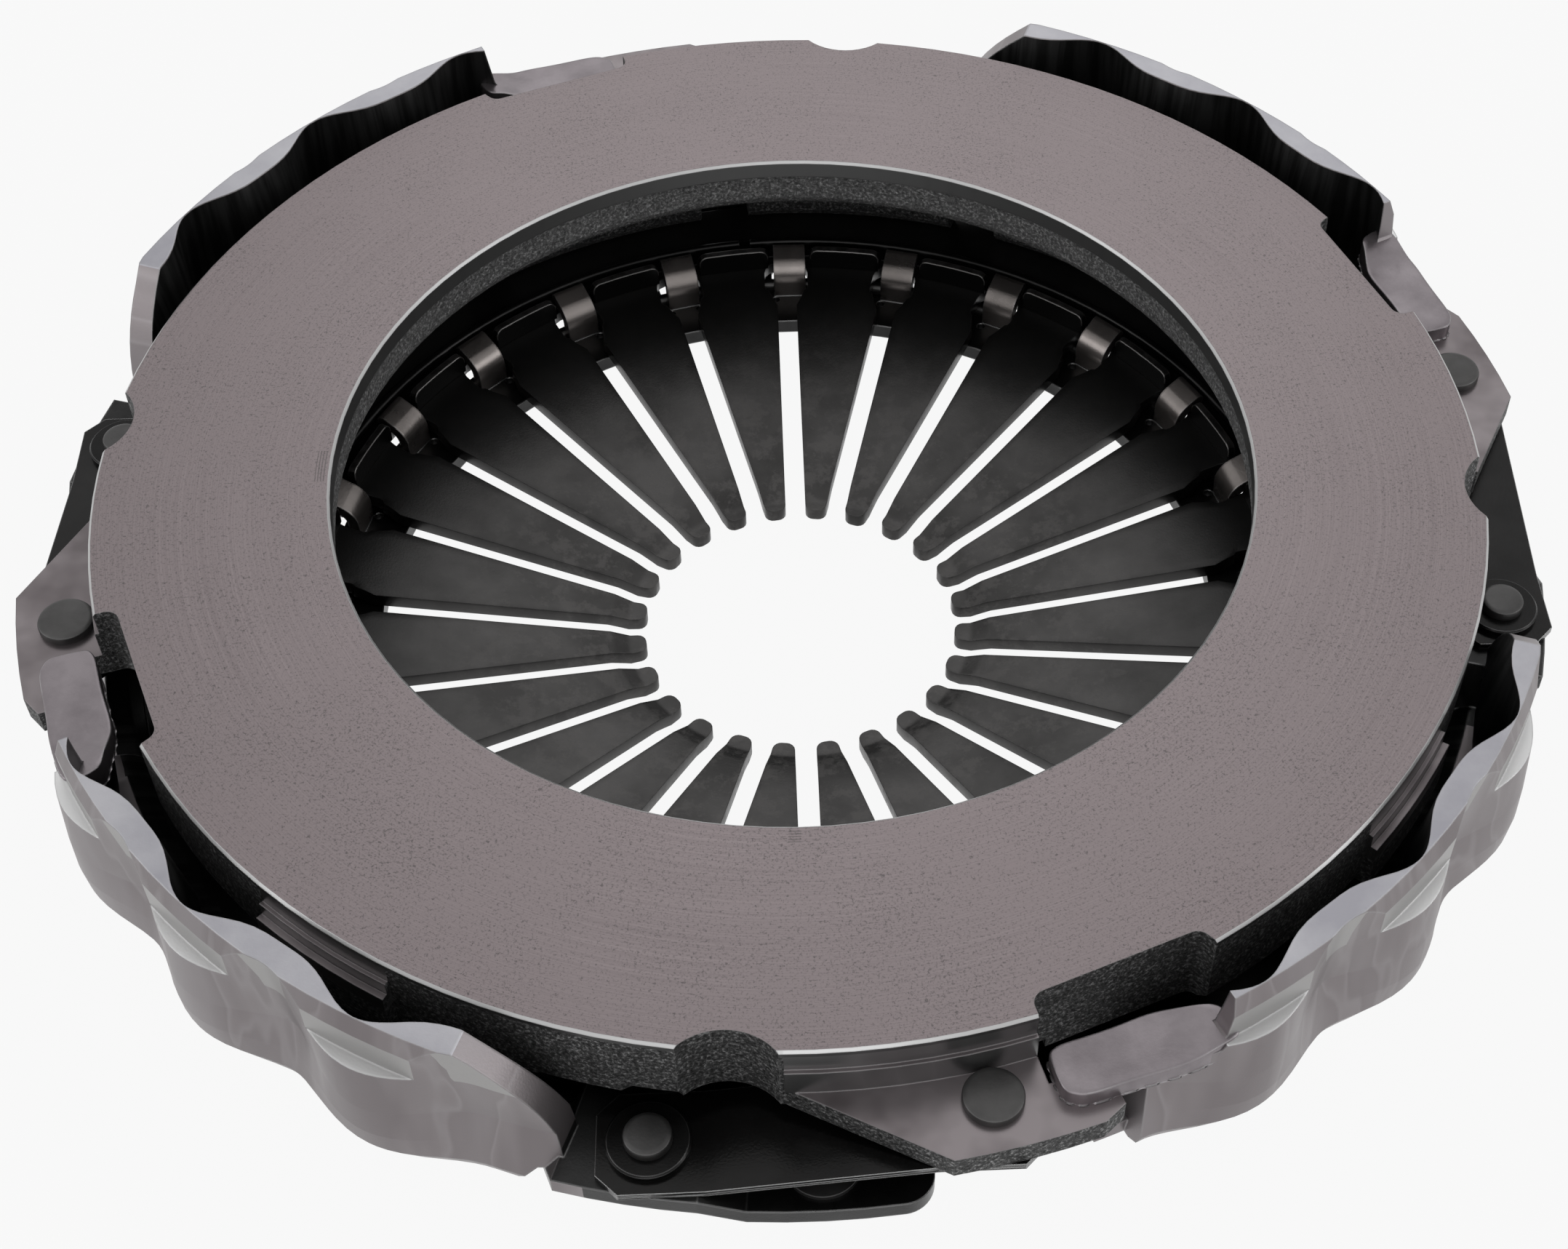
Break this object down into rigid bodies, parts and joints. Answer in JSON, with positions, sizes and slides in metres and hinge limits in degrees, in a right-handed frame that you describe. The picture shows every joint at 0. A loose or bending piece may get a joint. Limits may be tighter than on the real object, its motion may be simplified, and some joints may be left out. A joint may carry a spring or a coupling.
{
  "type": "clutch pressure plate",
  "caption": "Diaphragm spring clutch cover assembly: wavy stamped cover, cast plate with smooth friction ring, drive straps and radial spring fingers.",
  "frame": {"origin": "centre of the friction face, on the axis", "axes": "+Z along the axis, out of the friction face towards the flywheel; +X through one drive strap station"},
  "size_m": [0.4786, 0.4786, 0.0906],
  "materials": {
    "cast_iron": "ground friction face, rough cast sides",
    "pressed_steel": "satin",
    "spring_steel": "satin, shot peened",
    "ring_steel": "satin",
    "wire_steel": "satin",
    "strap_steel": "satin",
    "rivet_steel": "matt"
  },
  "bodies": {
    "cover": {"cover": "pressed_steel", "diaphragm_spring": "spring_steel", "support_ring": "ring_steel", "rear_wire_ring": "wire_steel", "front_wire_ring": "wire_steel", "strap_1_leaf_1": "strap_steel", "strap_1_leaf_2": "strap_steel", "strap_1_leaf_3": "strap_steel", "strap_2_leaf_1": "strap_steel", "strap_2_leaf_2": "strap_steel", "strap_2_leaf_3": "strap_steel", "strap_3_leaf_1": "strap_steel", "strap_3_leaf_2": "strap_steel", "strap_3_leaf_3": "strap_steel", "strap_4_leaf_1": "strap_steel", "strap_4_leaf_2": "strap_steel", "strap_4_leaf_3": "strap_steel", "cover_rivets": "rivet_steel", "cover_washers": "strap_steel", "balance_rivet": "rivet_steel"},
    "plate": {"pressure_plate": "cast_iron", "lug_rivets": "rivet_steel", "lug_washers": "strap_steel"}
  },
  "joints": [
    {"name": "plate_lift", "type": "slide", "parent": "cover", "child": "plate", "axis": [0, 0, -1], "range_m": [0, 0.007], "stiffness_N_per_m": 100000, "springref_m": -0.01, "deforming": ["strap_1_leaf_1", "strap_1_leaf_2", "strap_1_leaf_3", "strap_2_leaf_1", "strap_2_leaf_2", "strap_2_leaf_3", "strap_3_leaf_1", "strap_3_leaf_2", "strap_3_leaf_3", "strap_4_leaf_1", "strap_4_leaf_2", "strap_4_leaf_3", "diaphragm_spring"]}
  ]
}
